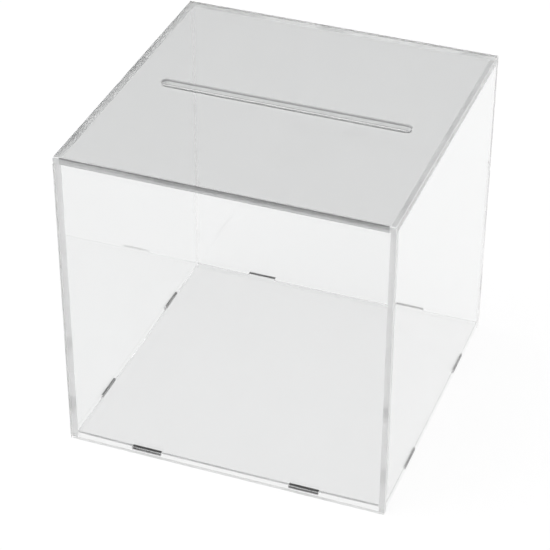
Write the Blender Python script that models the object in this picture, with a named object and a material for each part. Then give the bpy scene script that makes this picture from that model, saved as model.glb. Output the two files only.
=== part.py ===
"""Clear money box glued from six acrylic sheets: a slotted lid, four walls and a tabbed base.

Metres, +Z up, front towards -Y, origin at the centre of the footprint on the bench.
"""

import math

import bmesh
import bpy

# Whole box
OUTER_WIDTH = 0.250
OUTER_DEPTH = 0.250
OUTER_HEIGHT = 0.250

# Sheets
WALL_THICKNESS = 0.005
LID_THICKNESS = 0.005
BASE_THICKNESS = 0.002
EDGE_BREAK = 0.0003
EDGE_BREAK_STEPS = 2
BOND_GAP = 0.0003

# Money slot in the lid, with fully round ends
MONEY_SLOT_LENGTH = 0.194
MONEY_SLOT_WIDTH = 0.0104

# Tabs of the base, and the closed slots in the walls that hold them
TAB_SLOT_LENGTH = 0.024
TAB_SLOT_HEIGHT = 0.0032
TAB_SLOT_CORNER_RADIUS = 0.0008
TAB_SLOT_LOWER_EDGE = 0.003
TAB_END_CLEARANCE = 0.0005
TAB_CENTRE_SHARES = (-0.25, 0.25)

# Steps in each quarter of a round, and how far a cutter passes a sheet's two faces
QUARTER_STEPS = 16
CUT_OVERRUN = 0.002

# Heights
LID_UNDERSIDE = OUTER_HEIGHT - LID_THICKNESS
WALL_HEIGHT = LID_UNDERSIDE - BOND_GAP
BASE_UNDERSIDE = TAB_SLOT_LOWER_EDGE + BOND_GAP
TAB_SLOT_MIDDLE = TAB_SLOT_LOWER_EDGE + TAB_SLOT_HEIGHT / 2

# Plan sizes: the side walls stand between the front and back walls, the base inside all four
SIDE_WALL_LENGTH = OUTER_DEPTH - 2 * WALL_THICKNESS - 2 * BOND_GAP
BASE_WIDTH = OUTER_WIDTH - 2 * WALL_THICKNESS - 2 * BOND_GAP
BASE_DEPTH = OUTER_DEPTH - 2 * WALL_THICKNESS - 2 * BOND_GAP
TAB_LENGTH = TAB_SLOT_LENGTH - 2 * TAB_END_CLEARANCE

# Clear acrylic, as it reads in even white light
ACRYLIC_COLOUR = (0.93, 0.94, 0.94, 1.0)
ACRYLIC_ROUGHNESS = 0.03
ACRYLIC_REFRACTION = 1.49

QUARTER_TURN = math.pi / 2
BREAK_ANGLE = math.radians(40)


def clear_scene():
    for obj in list(bpy.data.objects):
        bpy.data.objects.remove(obj, do_unlink=True)


def acrylic(name):
    """A clear, polished plastic for one sheet."""
    material = bpy.data.materials.new(name)
    material.use_nodes = True
    shader = material.node_tree.nodes["Principled BSDF"]
    shader.inputs["Base Color"].default_value = ACRYLIC_COLOUR
    shader.inputs["Roughness"].default_value = ACRYLIC_ROUGHNESS
    shader.inputs["Metallic"].default_value = 0.0
    shader.inputs["IOR"].default_value = ACRYLIC_REFRACTION
    shader.inputs["Transmission Weight"].default_value = 1.0
    return material


def rectangle(length, height):
    """Corners of a rectangle about the origin, anticlockwise."""
    return [
        (-length / 2, -height / 2),
        (length / 2, -height / 2),
        (length / 2, height / 2),
        (-length / 2, height / 2),
    ]


def rounded_rectangle(length, height, radius):
    """Outline with four round corners, anticlockwise; a radius of half the height gives round ends."""
    points = []
    for quarter, (x, y) in enumerate(rectangle(length - 2 * radius, height - 2 * radius)):
        for step in range(QUARTER_STEPS + 1):
            angle = (quarter + 2 + step / QUARTER_STEPS) * QUARTER_TURN
            points.append((x + radius * math.cos(angle), y + radius * math.sin(angle)))
    return points


def tabbed_side(span, tab_pitch_length, inner, outer):
    """One side of the base's outline, run along x: a corner, then the four corners of each tab."""
    points = [(-span / 2, inner)]
    for share in TAB_CENTRE_SHARES:
        centre = share * tab_pitch_length
        start, end = centre - TAB_LENGTH / 2, centre + TAB_LENGTH / 2
        points += [(start, inner), (start, outer), (end, outer), (end, inner)]
    return points


def base_outline():
    """The base in plan: two tabs on each side, each reaching its wall's outer face."""
    points = []
    sides = [
        (BASE_WIDTH, OUTER_WIDTH, BASE_DEPTH, OUTER_DEPTH),
        (BASE_DEPTH, OUTER_DEPTH, BASE_WIDTH, OUTER_WIDTH),
    ] * 2
    for quarter, (span, outer_span, across, outer_across) in enumerate(sides):
        cos, sin = round(math.cos(quarter * QUARTER_TURN)), round(math.sin(quarter * QUARTER_TURN))
        for x, y in tabbed_side(span, outer_span, -across / 2, -outer_across / 2):
            points.append((x * cos - y * sin, x * sin + y * cos))
    return points


def sheet_mesh(name, outline, thickness, smooth_rim=False):
    """A closed mesh: the outline in the XY plane, extruded evenly to both sides of it."""
    mesh = bpy.data.meshes.new(name)
    shape = bmesh.new()
    shape.faces.new([shape.verts.new((x, y, -thickness / 2)) for x, y in outline])
    bmesh.ops.remove_doubles(shape, verts=shape.verts, dist=EDGE_BREAK / 100)
    raised = bmesh.ops.extrude_face_region(shape, geom=shape.faces[:])
    verts = [item for item in raised["geom"] if isinstance(item, bmesh.types.BMVert)]
    bmesh.ops.translate(shape, verts=verts, vec=(0, 0, thickness))
    bmesh.ops.recalc_face_normals(shape, faces=shape.faces)
    for side in shape.faces:
        side.smooth = smooth_rim and len(side.verts) == 4
    shape.to_mesh(mesh)
    shape.free()
    return mesh


def add_object(name, mesh):
    obj = bpy.data.objects.new(name, mesh)
    bpy.context.scene.collection.objects.link(obj)
    return obj


def add_sheet(name, outline, thickness, location, rotation):
    """A placed sheet with its own clear material."""
    sheet = add_object(name, sheet_mesh(name, outline, thickness))
    sheet.location = location
    sheet.rotation_euler = rotation
    sheet.data.materials.append(acrylic(name))
    return sheet


def cut(sheet, name, outline, thickness, x, y):
    """Cuts an opening through a sheet, centred at x, y on the sheet's own face."""
    cutter = add_object(name, sheet_mesh(name, outline, thickness + 2 * CUT_OVERRUN, True))
    cutter.parent = sheet
    cutter.location = (x, y, 0)
    cutter.hide_render = True
    cutter.display_type = "WIRE"
    opening = sheet.modifiers.new(name, "BOOLEAN")
    opening.operation = "DIFFERENCE"
    opening.solver = "EXACT"
    opening.object = cutter


def break_edges(sheet):
    """Takes the sharp arris off every edge of a sheet, openings included."""
    arris = sheet.modifiers.new("edge_break", "BEVEL")
    arris.width = EDGE_BREAK
    arris.segments = EDGE_BREAK_STEPS
    arris.limit_method = "ANGLE"
    arris.angle_limit = BREAK_ANGLE


def add_lid():
    middle = OUTER_HEIGHT - LID_THICKNESS / 2
    outline = rectangle(OUTER_WIDTH, OUTER_DEPTH)
    lid = add_sheet("lid_panel", outline, LID_THICKNESS, (0, 0, middle), (0, 0, 0))
    slot = rounded_rectangle(MONEY_SLOT_LENGTH, MONEY_SLOT_WIDTH, MONEY_SLOT_WIDTH / 2)
    cut(lid, "money_slot_cutter", slot, LID_THICKNESS, 0, 0)
    break_edges(lid)


def add_wall(name, length, tab_pitch_length, location, rotation):
    """A wall standing on the bench, with two closed slots near its lower edge."""
    x, y = location
    wall = add_sheet(
        name, rectangle(length, WALL_HEIGHT), WALL_THICKNESS, (x, y, WALL_HEIGHT / 2), rotation
    )
    slot = rounded_rectangle(TAB_SLOT_LENGTH, TAB_SLOT_HEIGHT, TAB_SLOT_CORNER_RADIUS)
    for number, share in enumerate(TAB_CENTRE_SHARES, 1):
        cut(
            wall,
            f"{name}_tab_slot_cutter_{number}",
            slot,
            WALL_THICKNESS,
            share * tab_pitch_length,
            TAB_SLOT_MIDDLE - WALL_HEIGHT / 2,
        )
    break_edges(wall)


def add_walls():
    front_y = (OUTER_DEPTH - WALL_THICKNESS) / 2
    side_x = (OUTER_WIDTH - WALL_THICKNESS) / 2
    across = (QUARTER_TURN, 0, 0)
    along = (QUARTER_TURN, 0, QUARTER_TURN)
    add_wall("front_panel", OUTER_WIDTH, OUTER_WIDTH, (0, -front_y), across)
    add_wall("back_panel", OUTER_WIDTH, OUTER_WIDTH, (0, front_y), across)
    add_wall("left_panel", SIDE_WALL_LENGTH, OUTER_DEPTH, (-side_x, 0), along)
    add_wall("right_panel", SIDE_WALL_LENGTH, OUTER_DEPTH, (side_x, 0), along)


def add_base():
    middle = BASE_UNDERSIDE + BASE_THICKNESS / 2
    base = add_sheet("base_panel", base_outline(), BASE_THICKNESS, (0, 0, middle), (0, 0, 0))
    break_edges(base)


clear_scene()
add_lid()
add_walls()
add_base()
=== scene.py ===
"""Clear money box: polished acrylic sheets, their cut edges and bonds, and a studio."""

import math

import bmesh
import bpy
from mathutils import Matrix, Vector


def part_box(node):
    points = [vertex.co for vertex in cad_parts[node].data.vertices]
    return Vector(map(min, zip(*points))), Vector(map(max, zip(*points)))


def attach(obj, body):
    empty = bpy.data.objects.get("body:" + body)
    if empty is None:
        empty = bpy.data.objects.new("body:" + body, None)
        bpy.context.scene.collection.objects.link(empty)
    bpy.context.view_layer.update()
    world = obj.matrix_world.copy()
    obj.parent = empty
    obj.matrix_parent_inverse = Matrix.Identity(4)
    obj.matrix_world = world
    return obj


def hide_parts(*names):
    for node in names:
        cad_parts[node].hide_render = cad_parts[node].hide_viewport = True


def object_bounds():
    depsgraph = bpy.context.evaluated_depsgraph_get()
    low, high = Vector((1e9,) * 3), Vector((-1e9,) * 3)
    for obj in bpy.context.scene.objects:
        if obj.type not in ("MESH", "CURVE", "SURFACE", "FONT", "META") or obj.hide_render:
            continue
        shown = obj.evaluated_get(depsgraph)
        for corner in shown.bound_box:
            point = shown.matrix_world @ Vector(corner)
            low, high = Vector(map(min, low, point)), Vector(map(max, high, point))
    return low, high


bl_info = {
    "name": "Clear Money Box",
    "version": (1, 0, 0),
    "blender": (4, 5, 0),
    "location": "3D View > Sidebar > Money Box",
    "description": "Builds the sheets of a clear acrylic money box and a plain studio around them",
    "category": "Add Mesh",
}

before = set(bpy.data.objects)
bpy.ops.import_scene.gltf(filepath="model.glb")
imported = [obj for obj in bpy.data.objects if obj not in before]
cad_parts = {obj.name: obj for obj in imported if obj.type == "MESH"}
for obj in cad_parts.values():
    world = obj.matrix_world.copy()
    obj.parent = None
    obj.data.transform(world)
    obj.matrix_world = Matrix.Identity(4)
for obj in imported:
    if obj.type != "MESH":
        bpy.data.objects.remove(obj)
LOW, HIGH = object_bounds()

# The finishes that a sheet's faces are sorted into
FACE, EDGE, OPENING, BOND, FOOT, ARRIS, RIM = range(7)
# The front copies of the lid's edge, arris and slot rim are darker, which is painted shade, and the
# base's front rim is paler, which is painted light
SHADED_FRONT_EDGE, SHADED_FRONT_ARRIS, SHADED_FRONT_RIM, LIT_BASE_RIM = range(7, 11)

AXES = (Vector((1, 0, 0)), Vector((0, 1, 0)), Vector((0, 0, 1)))

# How close counts as touching, and the space that keeps two bonded sheets apart, in metres
NEAR = 0.00005
SEAM = 0.00002

# Steps round the money slot's ends and round a tab slot's corners, across each half of the
# curled base, across the money slot's rounded rim, and across a scraped arris
ROUND_STEPS = 96
CORNER_STEPS = 64
CURL_STEPS = 8
ROUND_OVER_STEPS = 6
ARRIS_STEPS = 3

# How many times a sheet's thickness the cutter of an opening is long
CUTTER_REACH = 4

# How close to a cutting plane a vertex counts as on it, in metres
CUT_TOLERANCE = 1e-7

# Edges that turn more than the first are broken, and those that turn more than the second are
# shaded as sharp. The second is less than the turn of one step of the rounded rim.
BREAK_ANGLE = math.radians(40)
SHARP_ANGLE = math.radians(6.5)

# Least part of a normal along an axis for a face to count as square to it, as level, as
# leaning, as turned to the front, or as rounded over
SQUARE = 0.99
LEVEL = 0.9
LEANING = 0.3
FRONTWARD = 0.1
ROUNDED = 0.02

# Height up to which a wall's downward faces belong to its foot, in metres
FOOT_HEIGHT = 0.0005

# Noise keeps mostly between these values
NOISE_RANGE = (0.3, 0.7)

# Grain sizes of the finishes' patterns, in metres
HAZE_GRAIN = 0.045
WIPE_GRAIN = 0.004
STROKE_GRAIN = 0.005
PATCH_GRAIN = 0.012
CLOUD_GRAIN = 0.02

# How much rougher the haze makes a polished face, the share of its roughness that wiping
# leaves, and how the streaks of wiping are drawn out upwards
HAZE_ROUGHNESS = 0.02
WIPED_RANGE = (0.6, 1.0)
WIPE_STRETCH = (1.0, 1.0, 0.12)

# How far patterns drift: the darker tints, and the ranges of an edge's roughness and a
# bond's haze, each as a share of the plain value
FACE_FADE = 0.994
EDGE_FADE = 0.97
BOND_FADE = 0.97
PATCH_RANGE = (0.85, 1.15)
CLOUD_RANGE = (0.94, 1.06)

# Sockets of a Mix node that mixes colours
MIX_PLAIN, MIX_DARKER, MIX_RESULT = 6, 7, 2

WHITE = (1.0, 1.0, 1.0, 1.0)

# The world's dark band, by the sine of the height above the horizon: where it starts, where it
# is fully dark, and where it ends
BAND_START, BAND_DARK, BAND_END = 0.34, (0.44, 0.70), 0.78
BAND_COLOUR = (0.03, 0.03, 0.03, 1.0)

# Light that is guided inside a clear sheet turns at its faces this often
LIGHT_BOUNCES = 96


def thickness_of(node):
    """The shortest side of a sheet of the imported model."""
    low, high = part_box(node)
    return min(high - low)


def length(name, description, default):
    return bpy.props.FloatProperty(
        name=name, description=description, default=default, min=0.0, precision=4, unit="LENGTH"
    )


def share(name, description, default):
    return bpy.props.FloatProperty(
        name=name, description=description, default=default, min=0.0, max=1.0
    )


def colour(name, description, default):
    return bpy.props.FloatVectorProperty(
        name=name,
        description=description,
        default=default,
        size=3,
        subtype="COLOR",
        min=0.0,
        max=1.0,
    )


def place(name, description, default):
    return bpy.props.FloatVectorProperty(
        name=name,
        description=description,
        default=default,
        size=3,
        subtype="TRANSLATION",
        unit="LENGTH",
    )


class MoneyBoxSizes(bpy.types.PropertyGroup):
    """Lengths of the sheets and of the openings in them."""

    lid_thickness: length("Lid thickness", "Thickness of the lid sheet", thickness_of("lid_panel"))
    wall_thickness: length("Wall thickness", "Thickness of each wall", thickness_of("front_panel"))
    base_thickness: length(
        "Base thickness", "Thickness of the base sheet", thickness_of("base_panel")
    )
    base_underside: length(
        "Base height", "Height of the base's underside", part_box("base_panel")[0].z
    )
    edge_break: length("Edge break", "Width of the scraped arris along a free edge", 0.0004)
    base_edge_break: length("Base edge break", "Width of the scraped arris round the base", 0.0002)
    lid_edge_break: length("Lid edge break", "Width of the scraped arris round the lid", 0.0006)
    slot_length: length("Slot length", "Length of the money slot, round ends included", 0.194)
    slot_width: length("Slot width", "Width of the money slot at the lid's top", 0.0102)
    slot_round_over: length("Slot round-over", "Radius of the money slot's rounded rim", 0.0015)
    tab_slot_length: length("Tab slot length", "Length of each slot that holds a tab", 0.024)
    tab_slot_height: length("Tab slot height", "Height of each slot that holds a tab", 0.0032)
    tab_slot_lower_edge: length("Tab slot lower edge", "Height of the slots' lower edges", 0.003)
    tab_slot_corner: length("Tab slot corner", "Corner radius of the tab slots", 0.0008)
    tab_end_clearance: length("Tab end clearance", "Space at each end of a tab", 0.0005)
    tab_pitch: share(
        "Tab pitch", "Distance of each tab from the middle, as a share of the side", 0.25
    )
    base_curl: length("Base curl", "How far the thin base's corners lift", 0.0011)


class MoneyBoxFinish(bpy.types.PropertyGroup):
    """Look of the clear sheets, their edges and their bonds, with painted shade and painted light
    on some of them.
    """

    wall_tint: colour("Wall tint", "What the walls let through", (0.936, 0.939, 0.939))
    # The lid's tint is partly the acrylic's own and partly painted shade, darker than the walls' to
    # stand in for the shade seen through the lid.
    lid_tint_and_painted_shade: colour("Lid tint", "What the lid lets through", (0.846, 0.85, 0.85))
    base_tint: colour("Base tint", "What the base lets through", (0.985, 0.987, 0.987))
    wall_edge_tint: colour(
        "Wall edge tint", "Colour of the walls' sawn edges", (0.85, 0.855, 0.855)
    )
    lid_edge_tint: colour("Lid edge tint", "Colour of the lid's sawn edges", (0.68, 0.684, 0.685))
    # Painted shade: the lid's front edge is a darker copy of its sawn edge.
    lid_front_painted_shade: colour("Lid front tint", "Colour of the lid's front edge", (0.42, 0.424, 0.426))
    slot_tint: colour("Slot tint", "Colour of the money slot's milled edge", (0.88, 0.885, 0.885))
    # Painted shade: the slot's rounded rim is a dark grey, mostly not clear, in place of the light
    # a clear rim bends away.
    slot_rim_painted_shade: colour("Slot rim tint", "Colour of the slot's rounded rim", (0.42, 0.423, 0.424))
    # Painted shade: the part of the slot's rim turned to the front is a darker copy of the rim.
    front_rim_painted_shade: colour(
        "Front rim tint", "Colour of the rim that faces the front", (0.24, 0.241, 0.242)
    )
    laser_tint: colour("Laser tint", "Colour of the tab slots' edges", (0.93, 0.935, 0.935))
    # Painted light: the base's front rim is paler and hazier than the rest of its rim.
    base_rim_painted_light: colour("Base rim tint", "Colour of the base's front rim", (0.9, 0.903, 0.903))
    base_rim_clearness: share(
        "Base rim clearness", "Share of the base's front rim that is clear", 0.3
    )
    # Painted shade: the side walls' tab slots are dark grey and mostly not clear.
    side_slot_painted_shade: colour(
        "Side slot tint", "Colour of the side walls' tab slots", (0.12, 0.121, 0.122)
    )
    # Painted shade: the tabs' ends are nearly black.
    tab_end_painted_shade: colour("Tab tint", "Colour of the tabs' ends", (0.06, 0.061, 0.062))
    # The arris round the lid is scraped, and its mid grey is partly painted shade along the lid's
    # outline.
    arris_tint: colour(
        "Arris tint", "Colour of the scraped arris round the lid", (0.55, 0.553, 0.554)
    )
    # Painted shade: the arris at the front is a nearly black copy of the lid's arris.
    front_arris_painted_shade: colour(
        "Front arris tint", "Colour of the arris at the front", (0.1, 0.101, 0.102)
    )
    bond_tint: colour("Bond tint", "Colour of a bonded joint", (0.98, 0.98, 0.98))
    lid_bond_tint: colour(
        "Lid bond tint", "Colour of the lid's bonded joints", (0.92, 0.923, 0.924)
    )
    bond_haze: share("Bond haze", "Share of a bonded face that scatters light", 0.03)
    lid_bond_haze: share(
        "Lid bond haze", "Share of the lid's bonded faces that scatters light", 0.45
    )
    end_haze: share("End haze", "Share of a side wall's bonded end that scatters light", 0.85)
    # Painted shade: only the front wall's foot scatters light, which greys the strip along its
    # bottom in place of the shade under the box.
    foot_shade_haze: share("Foot haze", "Share of a wall's foot that scatters light", 0.5)
    refraction: bpy.props.FloatProperty(
        name="Refraction",
        description="Index of refraction of the acrylic",
        default=1.49,
        min=1.0,
        max=2.0,
    )
    face_roughness: share("Face roughness", "Roughness of a polished face before haze", 0.008)
    sawn_roughness: share("Sawn roughness", "Roughness of a sawn edge", 0.34)
    sawn_clearness: share("Sawn clearness", "Share of a sawn edge that lets light through", 0.8)
    milled_roughness: share("Milled roughness", "Roughness of the money slot's edge", 0.33)
    milled_clearness: share(
        "Milled clearness", "Share of the slot's edge that lets light through", 0.6
    )
    laser_roughness: share("Laser roughness", "Roughness of a laser-cut edge", 0.03)
    side_slot_clearness: share(
        "Side slot clearness", "Share of a side wall's tab slots that is clear", 0.3
    )
    arris_roughness: share("Arris roughness", "Roughness of a scraped arris", 0.35)
    arris_clearness: share("Arris clearness", "Share of an arris that lets light through", 0.1)


class MoneyBoxStudio(bpy.types.PropertyGroup):
    """Floor, light and camera."""

    floor_colour: colour("Floor colour", "Colour of the floor", (0.86, 0.86, 0.86))
    floor_reach: length("Floor reach", "Half the width of the floor", 8.0)
    floor_glow: share("Floor glow", "Share of the floor that shows plain white", 0.93)
    key_location: place("Key light location", "Where the key light stands", (-1.8, -0.6, 2.6))
    key_size: length("Key light size", "Side of the key light", 3.4)
    key_power: bpy.props.FloatProperty(
        name="Key light power", description="Power of the key light in watts", default=130.0
    )
    fill_location: place("Fill light location", "Where the fill light stands", (2.2, -1.2, 1.6))
    fill_size: length("Fill light size", "Side of the fill light", 2.3)
    fill_power: bpy.props.FloatProperty(
        name="Fill light power", description="Power of the fill light in watts", default=45.0
    )
    lens: bpy.props.FloatProperty(
        name="Lens", description="Focal length in millimetres", default=135.44, min=1.0
    )
    sensor_width: bpy.props.FloatProperty(
        name="Sensor width", description="Sensor width in millimetres", default=36.0, min=1.0
    )
    view_reach: length("View reach", "How far the camera sees", 100.0)
    camera_location: place(
        "Camera location", "Where the camera stands", (0.44408, -1.21397, 1.00208)
    )
    camera_rotation: bpy.props.FloatVectorProperty(
        name="Camera rotation",
        description="How the camera is turned",
        default=tuple(math.radians(turn) for turn in (55.08852, -0.21402, 20.51837)),
        size=3,
        subtype="EULER",
    )


# Materials


def node(tree, kind, links=(), **values):
    """Adds a node, sets its own settings and plain sockets, and links others into it."""
    made = tree.nodes.new(kind)
    for name, value in values.items():
        if hasattr(made, name):
            setattr(made, name, value)
        else:
            made.inputs[name.replace("_", " ")].default_value = value
    for socket, source in links:
        tree.links.new(source, made.inputs[socket])
    return made


def blank_material(name):
    material = bpy.data.materials.new(name)
    material.use_nodes = True
    material.node_tree.nodes.clear()
    return material, material.node_tree


def place_coordinates(tree, scale):
    """Object coordinates, stretched by scale."""
    source = node(tree, "ShaderNodeTexCoord")
    return node(
        tree, "ShaderNodeMapping", [("Vector", source.outputs["Object"])], Scale=scale
    ).outputs["Vector"]


def noise(tree, vector, size, detail=2.0):
    """Noise whose grains are about size metres across."""
    made = node(tree, "ShaderNodeTexNoise", [("Vector", vector)], Scale=1 / size, Detail=detail)
    return made.outputs["Fac"]


def spread(tree, value, low, high):
    """Brings noise from its usual range to low and high."""
    made = node(tree, "ShaderNodeMapRange", [("Value", value)])
    sockets = ("From Min", "From Max", "To Min", "To Max")
    for name, number in zip(sockets, (*NOISE_RANGE, low, high)):
        made.inputs[name].default_value = number
    return made.outputs["Result"]


def tint_varied(tree, fac, tint, darker):
    """A colour that drifts between tint and a slightly darker tint."""
    made = node(tree, "ShaderNodeMix", data_type="RGBA")
    tree.links.new(fac, made.inputs[0])
    made.inputs[MIX_PLAIN].default_value = (*tint, 1.0)
    made.inputs[MIX_DARKER].default_value = (*(part * darker for part in tint), 1.0)
    return made.outputs[MIX_RESULT]


def clear_shader(tree, finish, colour_socket, roughness_socket, clearness=1.0):
    """Acrylic that bends and mirrors light; the share that isn't clear scatters it."""
    shader = node(
        tree,
        "ShaderNodeBsdfPrincipled",
        [("Base Color", colour_socket), ("Roughness", roughness_socket)],
        Transmission_Weight=clearness,
        IOR=finish.refraction,
    )
    node(tree, "ShaderNodeOutputMaterial", [("Surface", shader.outputs[0])])


def polished_face(name, finish, tint):
    """A cast sheet's polished face: drifting faint haze, thinned in streaks by wiping."""
    material, tree = blank_material(name)
    plain = place_coordinates(tree, (1, 1, 1))
    haze = noise(tree, plain, HAZE_GRAIN, detail=3.0)
    wiped = noise(tree, place_coordinates(tree, WIPE_STRETCH), WIPE_GRAIN)
    hazy = spread(tree, haze, finish.face_roughness, finish.face_roughness + HAZE_ROUGHNESS)
    roughness = node(
        tree,
        "ShaderNodeMath",
        [(0, hazy), (1, spread(tree, wiped, *WIPED_RANGE))],
        operation="MULTIPLY",
    )
    clear_shader(
        tree,
        finish,
        tint_varied(tree, spread(tree, haze, 0.0, 1.0), tint, FACE_FADE),
        roughness.outputs[0],
    )
    return material


def cut_edge(name, finish, axis, tint, roughness, clearness=1.0):
    """A cut edge: fine strokes across the sheet's thickness, which runs along axis."""
    material, tree = blank_material(name)
    across = tuple(0.0 if number == axis else 1.0 for number in range(3))
    strokes = noise(tree, place_coordinates(tree, across), STROKE_GRAIN, detail=1.0)
    patches = noise(tree, place_coordinates(tree, (1, 1, 1)), PATCH_GRAIN, detail=1.0)
    clear_shader(
        tree,
        finish,
        tint_varied(tree, spread(tree, strokes, 0.0, 1.0), tint, EDGE_FADE),
        spread(tree, patches, *(part * roughness for part in PATCH_RANGE)),
        clearness=clearness,
    )
    return material


def bond(name, tint, share_hazy):
    """A solvent bond: light crosses it without bending, dulled by a haze of fine bubbles."""
    material, tree = blank_material(name)
    clouds = noise(tree, place_coordinates(tree, (1, 1, 1)), CLOUD_GRAIN, detail=1.0)
    bubbles = node(
        tree,
        "ShaderNodeBsdfDiffuse",
        [("Color", tint_varied(tree, spread(tree, clouds, 0.0, 1.0), tint, BOND_FADE))],
    )
    passing = node(tree, "ShaderNodeBsdfTransparent", Color=WHITE)
    haze = spread(tree, clouds, *(part * share_hazy for part in CLOUD_RANGE))
    mixed = node(
        tree,
        "ShaderNodeMixShader",
        [(0, haze), (1, passing.outputs[0]), (2, bubbles.outputs[0])],
    )
    node(tree, "ShaderNodeOutputMaterial", [("Surface", mixed.outputs[0])])
    return material


# Meshes


def block(low, high):
    """A bmesh block between two corners, faces outwards."""
    shape = bmesh.new()
    bmesh.ops.create_cube(shape, size=1.0)
    bmesh.ops.scale(shape, vec=Vector(high) - Vector(low), verts=shape.verts)
    bmesh.ops.translate(shape, vec=(Vector(low) + Vector(high)) / 2, verts=shape.verts)
    return shape


def slice_across(shape, axis, places):
    """Cuts every face of the shape where axis reaches each of these places."""
    for spot in places:
        bmesh.ops.bisect_plane(
            shape,
            geom=shape.verts[:] + shape.edges[:] + shape.faces[:],
            plane_co=AXES[axis] * spot,
            plane_no=AXES[axis],
            dist=CUT_TOLERANCE,
        )


def rounded_bar(long_axis, through_axis, centre, span, width, radius, depth, segments):
    """A bar with round corners along through_axis that cuts an opening of span by width."""
    short_axis = 3 - long_axis - through_axis
    shape = bmesh.new()
    bmesh.ops.create_cone(
        shape, cap_ends=True, segments=segments, radius1=radius, radius2=radius, depth=depth
    )
    half_step = Matrix.Rotation(math.pi / segments, 3, "Z")
    bmesh.ops.rotate(shape, cent=(0, 0, 0), matrix=half_step, verts=shape.verts)
    for side, stretch in ((0, span / 2 - radius), (1, width / 2 - radius)):
        for sign in (-1, 1):
            bmesh.ops.translate(
                shape,
                vec=AXES[side] * (sign * stretch),
                verts=[vert for vert in shape.verts if sign * vert.co[side] > 0],
            )
    turn = Matrix((AXES[long_axis], AXES[short_axis], AXES[through_axis])).transposed()
    bmesh.ops.transform(shape, matrix=turn.to_4x4(), verts=shape.verts)
    bmesh.ops.translate(shape, vec=centre, verts=shape.verts)
    bmesh.ops.recalc_face_normals(shape, faces=shape.faces)
    return shape


def object_from(shape, name):
    mesh = bpy.data.meshes.new(name)
    shape.to_mesh(mesh)
    shape.free()
    made = bpy.data.objects.new(name, mesh)
    bpy.context.scene.collection.objects.link(made)
    return made


def cut_openings(shape, bars):
    """The shape with each bar cut out of it."""
    sheet = object_from(shape, "sheet_blank")
    cutters = [object_from(bar, "opening_cutter") for bar in bars]
    for cutter in cutters:
        opening = sheet.modifiers.new("opening", "BOOLEAN")
        opening.operation = "DIFFERENCE"
        opening.solver = "EXACT"
        opening.object = cutter
    evaluated = sheet.evaluated_get(bpy.context.evaluated_depsgraph_get())
    mesh = bpy.data.meshes.new_from_object(evaluated)
    cut = bmesh.new()
    cut.from_mesh(mesh)
    for spare in (sheet, *cutters):
        spare_mesh = spare.data
        bpy.data.objects.remove(spare)
        bpy.data.meshes.remove(spare_mesh)
    bpy.data.meshes.remove(mesh)
    return cut


def break_edges(shape, width, kept, steps=ARRIS_STEPS):
    """Rounds every sharp edge but those whose ends are both kept."""
    sharp = [
        edge
        for edge in shape.edges
        if edge.calc_face_angle() > BREAK_ANGLE
        and not all(kept(vert.co) for vert in edge.verts)
    ]
    bmesh.ops.bevel(
        shape,
        geom=sharp,
        offset=width,
        offset_type="OFFSET",
        segments=steps,
        profile=0.5,
        affect="EDGES",
        material=-1,
        clamp_overlap=True,
    )


def finish_sheet(shape, name, node_name, materials, thin_axis, joint):
    """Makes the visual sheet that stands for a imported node, with its faces sorted by finish."""
    bmesh.ops.recalc_face_normals(shape, faces=shape.faces)
    rims = [axis for axis in range(3) if axis != thin_axis]
    low = [min(vert.co[axis] for vert in shape.verts) + NEAR for axis in rims]
    high = [max(vert.co[axis] for vert in shape.verts) - NEAR for axis in rims]
    thickness = thickness_of(node_name)

    def sort(face):
        centre, normal = face.calc_center_median(), face.normal
        if joint(centre, normal) is not None:
            return joint(centre, normal)
        if abs(normal[thin_axis]) > SQUARE:
            return FACE
        if thin_axis != 2 and normal.z < -LEANING and centre.z < LOW.z + FOOT_HEIGHT:
            return FOOT
        # Faces turned to the front take darker copies of the lid's edge, arris and slot rim:
        # painted shade
        front = normal.y < -FRONTWARD
        middle = abs(centre.x) < HIGH.x - thickness
        if ARRIS in materials and abs(normal[thin_axis]) > ROUNDED:
            if middle and abs(centre.y) < HIGH.y - thickness:
                return SHADED_FRONT_RIM if front else RIM
            return SHADED_FRONT_ARRIS if front and middle else ARRIS
        if all(least < centre[axis] < most for axis, least, most in zip(rims, low, high)):
            return OPENING
        return SHADED_FRONT_EDGE if SHADED_FRONT_EDGE in materials and middle and front else EDGE

    sorted_faces = [(face, sort(face)) for face in shape.faces]
    used = sorted({kind for face, kind in sorted_faces})
    for face, kind in sorted_faces:
        face.smooth = True
        face.material_index = used.index(kind)
    sheet = object_from(shape, name)
    sheet.data.set_sharp_from_angle(angle=SHARP_ANGLE)
    for kind in used:
        sheet.data.materials.append(materials[kind])
    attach(sheet, "root")
    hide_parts(node_name)
    return sheet


# Sheets


class AddSheet:
    """What the operators of the sheets share."""

    bl_options = {"REGISTER", "UNDO"}

    def execute(self, context):
        sizes = context.scene.money_box_sizes
        finish = context.scene.money_box_finish
        self.build(sizes, finish)
        return {"FINISHED"}


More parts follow.
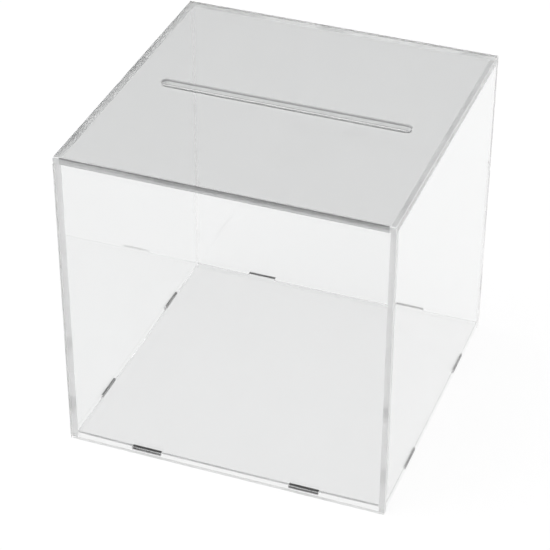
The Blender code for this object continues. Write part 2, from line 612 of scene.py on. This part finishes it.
class MONEY_BOX_OT_add_lid(AddSheet, bpy.types.Operator):
    """Add the lid with its round-ended money slot"""

    bl_idname = "money_box.add_lid"
    bl_label = "Add Lid"

    def build(self, sizes, finish):
        underside = HIGH.z - sizes.lid_thickness
        inner = Vector((HIGH.x, HIGH.y, 0)) - Vector((1, 1, 0)) * sizes.wall_thickness

        def over_wall(point):
            return abs(point.x) > inner.x - NEAR or abs(point.y) > inner.y - NEAR

        def bonded(point):
            return point.z < underside + NEAR and over_wall(point)

        def off_slot_rim(point):
            in_slot = abs(point.x) < sizes.slot_length / 2 and abs(point.y) < sizes.slot_width / 2
            return point.z < HIGH.z - NEAR or not in_slot

        shape = block((LOW.x, LOW.y, underside), HIGH)
        throat = sizes.slot_width - 2 * sizes.slot_round_over
        slot = rounded_bar(
            0,
            2,
            (0, 0, HIGH.z),
            sizes.slot_length - 2 * sizes.slot_round_over,
            throat,
            throat / 2,
            CUTTER_REACH * sizes.lid_thickness,
            ROUND_STEPS,
        )
        shape = cut_openings(shape, [slot])
        break_edges(shape, sizes.slot_round_over, off_slot_rim, ROUND_OVER_STEPS)
        slice_across(shape, 0, (-inner.x, inner.x))
        slice_across(shape, 1, (-inner.y, inner.y))
        break_edges(shape, sizes.lid_edge_break, bonded)
        sawn = (finish.sawn_roughness, finish.sawn_clearness)
        milled = (finish.slot_tint, finish.milled_roughness, finish.milled_clearness)
        scraped = (finish.arris_roughness, finish.arris_clearness)
        materials = {
            # The lid's faces carry a darker tint, partly painted shade.
            FACE: polished_face("lid_face", finish, finish.lid_tint_and_painted_shade),
            EDGE: cut_edge("lid_edge", finish, 2, finish.lid_edge_tint, *sawn),
            # Painted shade: the front edge is a darker copy of the lid's edge.
            SHADED_FRONT_EDGE: cut_edge("lid_front_edge_painted_shade", finish, 2, finish.lid_front_painted_shade, *sawn),
            OPENING: cut_edge("money_slot_edge", finish, 2, *milled),
            # The arris is scraped, and its grey is partly painted shade.
            ARRIS: cut_edge("lid_arris", finish, 2, finish.arris_tint, *scraped),
            # Painted shade: the slot's rounded rim is dark grey.
            RIM: cut_edge("money_slot_rim_painted_shade", finish, 2, finish.slot_rim_painted_shade, *scraped),
            # Painted shade: a darker copy of the slot rim where it faces the front.
            SHADED_FRONT_RIM: cut_edge("money_slot_front_rim_painted_shade", finish, 2, finish.front_rim_painted_shade, *scraped),
            # Painted shade: the arris at the front is nearly black.
            SHADED_FRONT_ARRIS: cut_edge("lid_front_arris_painted_shade", finish, 2, finish.front_arris_painted_shade, *scraped),
            BOND: bond("lid_bond", finish.lid_bond_tint, finish.lid_bond_haze),
        }
        finish_sheet(
            shape,
            "lid",
            "lid_panel",
            materials,
            2,
            lambda centre, normal: BOND if normal.z < -SQUARE and over_wall(centre) else None,
        )


def add_wall(name, sizes, finish, thin_axis, side):
    """A wall on one side of the box: thin_axis is the axis it faces along, side is -1 or 1."""
    node_name = name + "_panel"
    long_axis = 1 - thin_axis
    outer = HIGH[thin_axis]
    inner = outer - sizes.wall_thickness
    top = HIGH.z - sizes.lid_thickness - SEAM
    covers_ends = thin_axis == 1
    reach = HIGH[long_axis] - (0.0 if covers_ends else sizes.wall_thickness + SEAM)
    seat = HIGH[long_axis] - sizes.wall_thickness

    def point(along, across, height):
        return AXES[long_axis] * along + AXES[thin_axis] * (side * across) + AXES[2] * height

    def bonded(spot):
        on_top = spot.z > top - NEAR
        on_end = abs(spot[long_axis]) > seat - NEAR
        inside = abs(spot[thin_axis]) < inner + NEAR
        return on_top or (on_end and (inside or not covers_ends))

    def joint(centre, normal):
        """The finish of a joint's face: a bond at the top and front, polished at the back."""
        if normal.z > SQUARE:
            return BOND
        if covers_ends:
            joined = side * normal[thin_axis] < -SQUARE and abs(centre[long_axis]) > seat
        else:
            end = abs(centre[long_axis]) > seat - NEAR - SEAM
            joined = abs(normal[long_axis]) > SQUARE and end
        if joined:
            return BOND if centre.y < 0 else FACE
        return None

    corners = (point(-reach, inner, 0.0), point(reach, outer, top))
    shape = block(
        [min(pair) for pair in zip(*corners)],
        [max(pair) for pair in zip(*corners)],
    )
    bars = [
        rounded_bar(
            long_axis,
            thin_axis,
            point(
                tab * sizes.tab_pitch * 2 * HIGH[long_axis],
                (inner + outer) / 2,
                sizes.tab_slot_lower_edge + sizes.tab_slot_height / 2,
            ),
            sizes.tab_slot_length,
            sizes.tab_slot_height,
            sizes.tab_slot_corner,
            CUTTER_REACH * sizes.wall_thickness,
            CORNER_STEPS,
        )
        for tab in (-1, 1)
    ]
    shape = cut_openings(shape, bars)
    if covers_ends:
        slice_across(shape, long_axis, (-seat, seat))
    break_edges(shape, sizes.edge_break, bonded)
    sawn = (finish.wall_edge_tint, finish.sawn_roughness, finish.sawn_clearness)
    if covers_ends:
        laser = (finish.laser_tint, finish.laser_roughness)
    else:
        # Painted shade: the side walls' tab slots are dark.
        laser = (finish.side_slot_painted_shade, finish.laser_roughness, finish.side_slot_clearness)
    bond_haze = finish.bond_haze if covers_ends else finish.end_haze
    # Painted shade: only the front wall's foot is hazy, greying the bottom of the front.
    foot_shade_haze = finish.foot_shade_haze if name == "front" else 0.0
    materials = {
        FACE: polished_face(name + "_face", finish, finish.wall_tint),
        EDGE: cut_edge(name + "_edge", finish, thin_axis, *sawn),
        OPENING: cut_edge(name + "_tab_slot_edge", finish, thin_axis, *laser),
        BOND: bond(name + "_bond", finish.bond_tint, bond_haze),
        FOOT: bond(name + "_foot", finish.bond_tint, foot_shade_haze),
    }
    finish_sheet(shape, name + "_wall", node_name, materials, thin_axis, joint)


class MONEY_BOX_OT_add_long_walls(AddSheet, bpy.types.Operator):
    """Add the front and back walls, which cover the ends of the side walls"""

    bl_idname = "money_box.add_long_walls"
    bl_label = "Add Front and Back Walls"

    def build(self, sizes, finish):
        add_wall("front", sizes, finish, 1, -1)
        add_wall("back", sizes, finish, 1, 1)


class MONEY_BOX_OT_add_side_walls(AddSheet, bpy.types.Operator):
    """Add the left and right walls, which stand between the front and back walls"""

    bl_idname = "money_box.add_side_walls"
    bl_label = "Add Side Walls"

    def build(self, sizes, finish):
        add_wall("left", sizes, finish, 0, -1)
        add_wall("right", sizes, finish, 0, 1)


class MONEY_BOX_OT_add_base(AddSheet, bpy.types.Operator):
    """Add the thin base sheet with its tabs, slightly curled at the corners"""

    bl_idname = "money_box.add_base"
    bl_label = "Add Base"

    def build(self, sizes, finish):
        reach = HIGH.x - sizes.wall_thickness - SEAM
        bottom, top = sizes.base_underside, sizes.base_underside + sizes.base_thickness
        shape = block((-reach, -reach, bottom), (reach, reach, top))
        half_tab = sizes.tab_slot_length / 2 - sizes.tab_end_clearance
        tabs = [tab * sizes.tab_pitch * 2 * HIGH.x for tab in (-1, 1)]
        ends = [tab + end * half_tab for tab in tabs for end in (-1, 1)]
        bends = [step / CURL_STEPS * reach for step in range(1 - CURL_STEPS, CURL_STEPS)]
        for axis in (0, 1):
            slice_across(shape, axis, ends + bends)
        for axis in (0, 1):
            for side in (-1, 1):
                rims = [
                    face
                    for face in shape.faces
                    if side * face.normal[axis] > SQUARE
                    and any(
                        abs(face.calc_center_median()[1 - axis] - tab) < half_tab for tab in tabs
                    )
                ]
                raised = bmesh.ops.extrude_face_region(shape, geom=rims)
                bmesh.ops.translate(
                    shape,
                    vec=AXES[axis] * side * (HIGH[axis] - reach),
                    verts=[item for item in raised["geom"] if isinstance(item, bmesh.types.BMVert)],
                )
                bmesh.ops.delete(shape, geom=rims, context="FACES")
        break_edges(shape, sizes.base_edge_break, lambda spot: False)
        for vert in shape.verts:
            vert.co.z += sizes.base_curl * (vert.co.x * vert.co.y / reach**2) ** 2
        # Painted light: the front rim between the tabs scatters pale light.
        hazy = (finish.base_rim_painted_light, finish.sawn_roughness, finish.base_rim_clearness)
        materials = {
            FACE: polished_face("base_face", finish, finish.base_tint),
            # Painted shade: the tabs' ends are nearly black.
            EDGE: cut_edge("tab_end", finish, 2, finish.tab_end_painted_shade, finish.laser_roughness),
            OPENING: cut_edge("tab_side", finish, 2, finish.laser_tint, finish.laser_roughness),
            LIT_BASE_RIM: cut_edge("base_rim", finish, 2, *hazy),
        }

        def joint(centre, normal):
            """The finish of the rim between the tabs: sawn and paler at the front, which is painted
            light, and polished elsewhere.
            """
            out = max(abs(centre.x), abs(centre.y))
            if abs(normal.z) > LEVEL or not reach - sizes.base_edge_break < out < reach + NEAR:
                return None
            return LIT_BASE_RIM if normal.y < -LEANING else FACE

        finish_sheet(shape, "base", "base_panel", materials, 2, joint)


# Stage


def floor_material(studio):
    """A pale floor: mostly plain white to the camera and through sheets, with a soft shadow."""
    material, tree = blank_material("pale_floor")
    matt = node(tree, "ShaderNodeBsdfDiffuse", Color=(*studio.floor_colour, 1.0))
    plain = node(tree, "ShaderNodeEmission", Color=WHITE, Strength=1.0)
    path = node(tree, "ShaderNodeLightPath")
    seen = node(
        tree,
        "ShaderNodeMath",
        [(0, path.outputs["Is Camera Ray"]), (1, path.outputs["Is Glossy Ray"])],
        operation="MAXIMUM",
    )
    shown = node(
        tree,
        "ShaderNodeMath",
        [(0, seen.outputs[0]), (1, path.outputs["Is Transmission Ray"])],
        operation="MAXIMUM",
    )
    glow = node(tree, "ShaderNodeMath", [(0, shown.outputs[0])], operation="MULTIPLY")
    glow.inputs[1].default_value = studio.floor_glow
    mixed = node(
        tree,
        "ShaderNodeMixShader",
        [(0, glow.outputs[0]), (1, matt.outputs[0]), (2, plain.outputs[0])],
    )
    node(tree, "ShaderNodeOutputMaterial", [("Surface", mixed.outputs[0])])
    return material


def add_softbox(name, location, size, power):
    """A square soft light that faces the middle of the box."""
    lamp = bpy.data.lights.new(name, "AREA")
    lamp.shape = "SQUARE"
    lamp.size = size
    lamp.energy = power
    holder = bpy.data.objects.new(name, lamp)
    holder.location = location
    aim = (LOW + HIGH) / 2 - Vector(location)
    holder.rotation_euler = aim.to_track_quat("-Z", "Y").to_euler()
    bpy.context.scene.collection.objects.link(holder)


def add_world():
    """White round the horizon and overhead, with a dark band between, which the lid mirrors."""
    world = bpy.data.worlds.new("studio")
    world.use_nodes = True
    tree = world.node_tree
    tree.nodes.clear()
    direction = node(tree, "ShaderNodeTexCoord")
    split = node(tree, "ShaderNodeSeparateXYZ", [("Vector", direction.outputs["Generated"])])
    ramp = node(tree, "ShaderNodeValToRGB", [("Fac", split.outputs["Z"])])
    stops = ramp.color_ramp.elements
    for height in BAND_DARK:
        stops.new(height).color = BAND_COLOUR
    stops[0].position, stops[0].color = BAND_START, WHITE
    stops[-1].position, stops[-1].color = BAND_END, WHITE
    background = node(tree, "ShaderNodeBackground", [("Color", ramp.outputs["Color"])])
    node(tree, "ShaderNodeOutputWorld", [("Surface", background.outputs[0])])
    bpy.context.scene.world = world


class MONEY_BOX_OT_add_stage(bpy.types.Operator):
    """Add the floor, the soft lights, the world and the camera"""

    bl_idname = "money_box.add_stage"
    bl_label = "Add Stage"
    bl_options = {"REGISTER", "UNDO"}

    def execute(self, context):
        studio = context.scene.money_box_studio
        shape = bmesh.new()
        bmesh.ops.create_grid(shape, x_segments=1, y_segments=1, size=studio.floor_reach)
        bmesh.ops.translate(shape, vec=(0, 0, LOW.z - SEAM), verts=shape.verts)
        floor = object_from(shape, "floor")
        floor.data.materials.append(floor_material(studio))
        add_softbox("key_light", studio.key_location, studio.key_size, studio.key_power)
        add_softbox("fill_light", studio.fill_location, studio.fill_size, studio.fill_power)
        add_world()
        camera = bpy.data.cameras.new("camera")
        camera.lens = studio.lens
        camera.sensor_width = studio.sensor_width
        camera.clip_end = studio.view_reach
        holder = bpy.data.objects.new("camera", camera)
        holder.location = studio.camera_location
        holder.rotation_euler = studio.camera_rotation
        context.scene.collection.objects.link(holder)
        context.scene.camera = holder
        context.scene.view_settings.view_transform = "Standard"
        light_paths = context.scene.cycles
        light_paths.max_bounces = LIGHT_BOUNCES
        light_paths.transmission_bounces = LIGHT_BOUNCES
        light_paths.glossy_bounces = LIGHT_BOUNCES
        light_paths.transparent_max_bounces = LIGHT_BOUNCES
        return {"FINISHED"}


class VIEW3D_PT_money_box(bpy.types.Panel):
    """Sidebar list of the money box's pieces and their settings"""

    bl_label = "Money Box"
    bl_space_type = "VIEW_3D"
    bl_region_type = "UI"
    bl_category = "Money Box"

    def draw(self, context):
        layout = self.layout
        for operator in OPERATORS:
            layout.operator(operator.bl_idname)
        for group in (
            context.scene.money_box_sizes,
            context.scene.money_box_finish,
            context.scene.money_box_studio,
        ):
            column = layout.column(align=True)
            for name in group.bl_rna.properties.keys():
                if name not in ("rna_type", "name"):
                    column.prop(group, name)


OPERATORS = (
    MONEY_BOX_OT_add_lid,
    MONEY_BOX_OT_add_long_walls,
    MONEY_BOX_OT_add_side_walls,
    MONEY_BOX_OT_add_base,
    MONEY_BOX_OT_add_stage,
)
CLASSES = (MoneyBoxSizes, MoneyBoxFinish, MoneyBoxStudio, *OPERATORS, VIEW3D_PT_money_box)


def register():
    for each in CLASSES:
        bpy.utils.register_class(each)
    bpy.types.Scene.money_box_sizes = bpy.props.PointerProperty(type=MoneyBoxSizes)
    bpy.types.Scene.money_box_finish = bpy.props.PointerProperty(type=MoneyBoxFinish)
    bpy.types.Scene.money_box_studio = bpy.props.PointerProperty(type=MoneyBoxStudio)


def unregister():
    del bpy.types.Scene.money_box_studio
    del bpy.types.Scene.money_box_finish
    del bpy.types.Scene.money_box_sizes
    for each in reversed(CLASSES):
        bpy.utils.unregister_class(each)


def main():
    register()
    bpy.ops.money_box.add_lid()
    bpy.ops.money_box.add_long_walls()
    bpy.ops.money_box.add_side_walls()
    bpy.ops.money_box.add_base()
    bpy.ops.money_box.add_stage()


if __name__ == "__main__":
    main()
